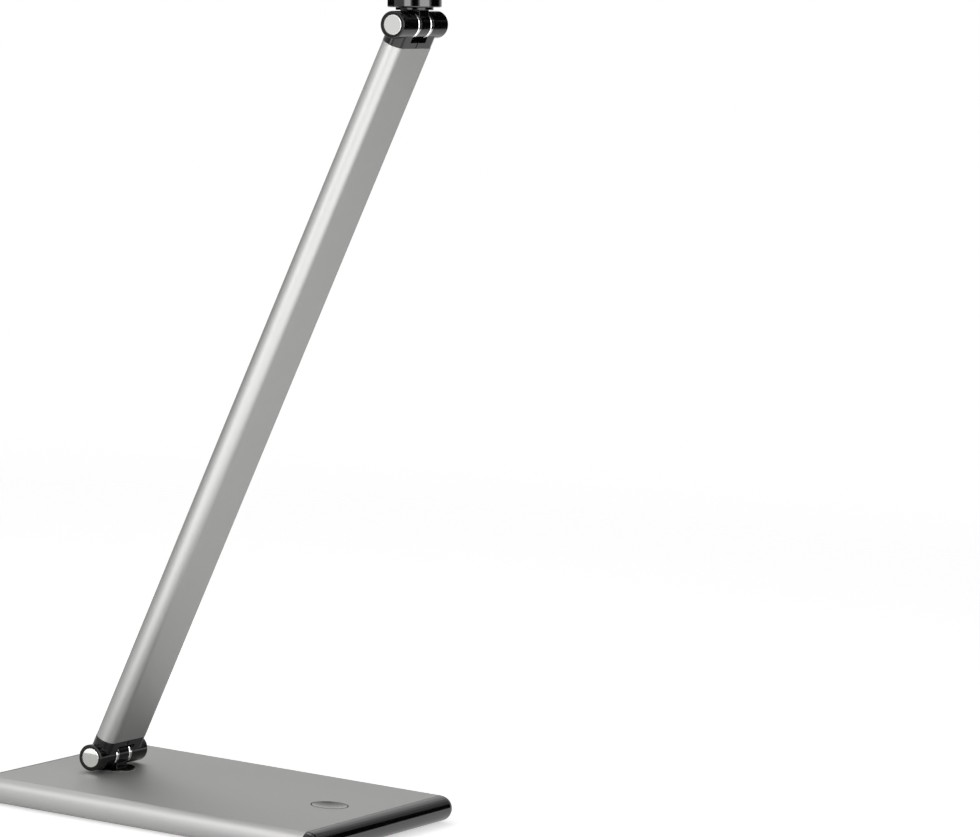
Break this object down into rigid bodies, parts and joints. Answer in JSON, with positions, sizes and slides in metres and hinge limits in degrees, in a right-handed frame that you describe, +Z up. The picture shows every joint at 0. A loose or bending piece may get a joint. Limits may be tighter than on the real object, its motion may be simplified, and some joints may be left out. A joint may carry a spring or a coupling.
{
  "type": "desk lamp",
  "caption": "Desk lamp: flat aluminium base with a fingertip dish, one flat arm on barrel hinges and a swivelling light bar.",
  "frame": {"origin": "middle of the underside of the anti-slip pad, on the surface the lamp stands on", "axes": "+X from the arm's foot towards the fingertip dish and along the light bar, +Y along the hinge pins, +Z up"},
  "size_m": [0.5119, 0.172, 0.5731],
  "materials": {
    "satin_aluminium": "satin anodised",
    "gloss_black": "gloss moulded",
    "ballast_steel": "rolled, oiled",
    "zinc_steel": "zinc plated",
    "spring_steel": "blued spring steel",
    "black_rubber": "matte anti-slip",
    "black_plastic": "fine texture",
    "slide_plastic": "smooth acetal",
    "circuit_board": "solder mask",
    "conductive_foam": "open foam",
    "black_lacquer": "gloss black on die-cast zinc",
    "lead_sheath": "soft sheath",
    "bright_chrome": "polished",
    "satin_chrome": "satin faced",
    "strip_board": "white solder mask",
    "led_phosphor": "phosphor",
    "white_reflector": "matte white",
    "opal_acrylic": "opal, frosted"
  },
  "bodies": {
    "base": {"base_profile": "satin_aluminium", "front_cap": "gloss_black", "rear_cap": "gloss_black", "ballast_plate": "ballast_steel", "ballast_screws": "zinc_steel", "base_pad": "black_rubber", "driver_tray": "black_plastic", "driver_board": "circuit_board", "power_inlet": "black_plastic", "touch_ring": "black_plastic", "touch_dish": "satin_aluminium", "touch_contact": "conductive_foam", "touch_board": "circuit_board", "slide_disc": "slide_plastic"},
    "foot_swivel": {"base_knuckle": "black_lacquer", "base_thrust_washer": "slide_plastic", "base_spring_washer": "spring_steel", "base_swivel_nut": "zinc_steel"},
    "arm": {"lower_fitting": "black_lacquer", "upper_fitting": "black_lacquer", "arm_profile": "satin_aluminium", "arm_lead": "lead_sheath", "lower_hinge_bolt": "zinc_steel", "lower_rings": "bright_chrome", "lower_end_discs": "satin_chrome", "lower_disc_springs": "spring_steel", "lower_hinge_nut": "zinc_steel", "upper_hinge_bolt": "zinc_steel", "upper_rings": "bright_chrome", "upper_end_discs": "satin_chrome", "upper_disc_springs": "spring_steel", "upper_hinge_nut": "zinc_steel"},
    "elbow": {"elbow_knuckle": "black_lacquer", "head_thrust_washer": "slide_plastic", "head_spring_washer": "spring_steel", "head_swivel_nut": "zinc_steel"},
    "light_bar": {"swivel_housing": "gloss_black", "bar_screws": "zinc_steel", "bar_profile": "satin_aluminium", "bar_front_cap": "gloss_black", "bar_rear_cap": "gloss_black", "light_strip": "strip_board", "light_chips": "led_phosphor", "reflector": "white_reflector", "diffuser": "opal_acrylic"}
  },
  "joints": [
    {"name": "foot_turn", "type": "hinge", "parent": "base", "child": "foot_swivel", "pos_m": [-0.076, 0, 0.0264], "axis": [0, 0, 1], "range_deg": [-90, 90]},
    {"name": "arm_tilt", "type": "hinge", "parent": "foot_swivel", "child": "arm", "pos_m": [-0.076, 0, 0.0264], "axis": [0, 1, 0], "range_deg": [-41.5, 38.5]},
    {"name": "head_tilt", "type": "hinge", "parent": "arm", "child": "elbow", "pos_m": [0.10741, 0, 0.49155], "axis": [0, -1, 0], "range_deg": [-74, 56]},
    {"name": "head_turn", "type": "hinge", "parent": "elbow", "child": "light_bar", "pos_m": [0.10741, 0, 0.49155], "axis": [-0.0698, 0, 0.9976], "range_deg": [-90, 90]}
  ]
}
